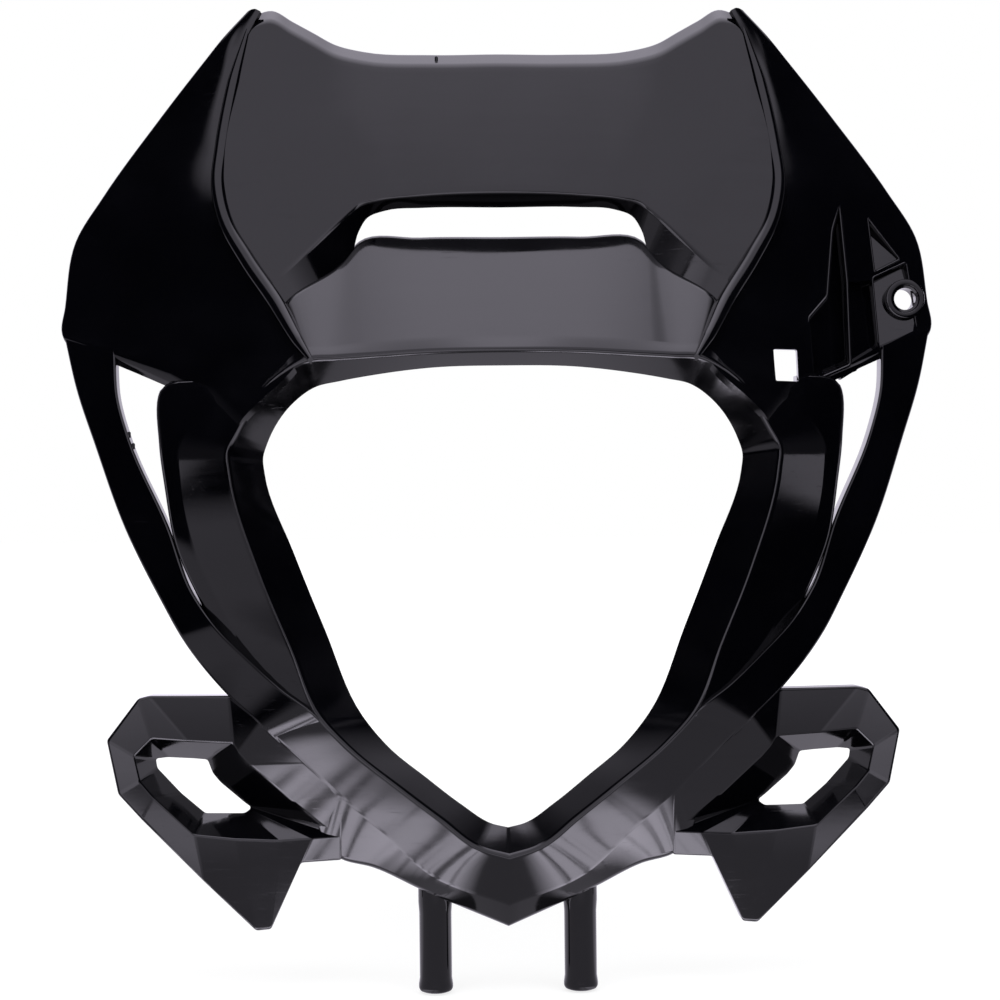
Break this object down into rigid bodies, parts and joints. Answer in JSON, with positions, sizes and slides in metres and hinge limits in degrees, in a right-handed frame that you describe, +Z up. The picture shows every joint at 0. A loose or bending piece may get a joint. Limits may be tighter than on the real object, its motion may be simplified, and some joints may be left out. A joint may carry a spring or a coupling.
{
  "type": "headlight cowl",
  "caption": "Open moulded headlight surround with horned top plate, side wings, struts, vented winglets, chin and locating pegs.",
  "frame": {"origin": "midway between the axes of the two locating pegs, level with the grommets that hold them, 12 mm below the point of the chin", "axes": "+Z up, the front faces -Y, +Y runs rearward, +X to the viewer's right"},
  "size_m": [0.334, 0.0576, 0.3715],
  "materials": {
    "shell": "gloss"
  },
  "bodies": {
    "root": {"cowl": "shell"}
  },
  "joints": []
}
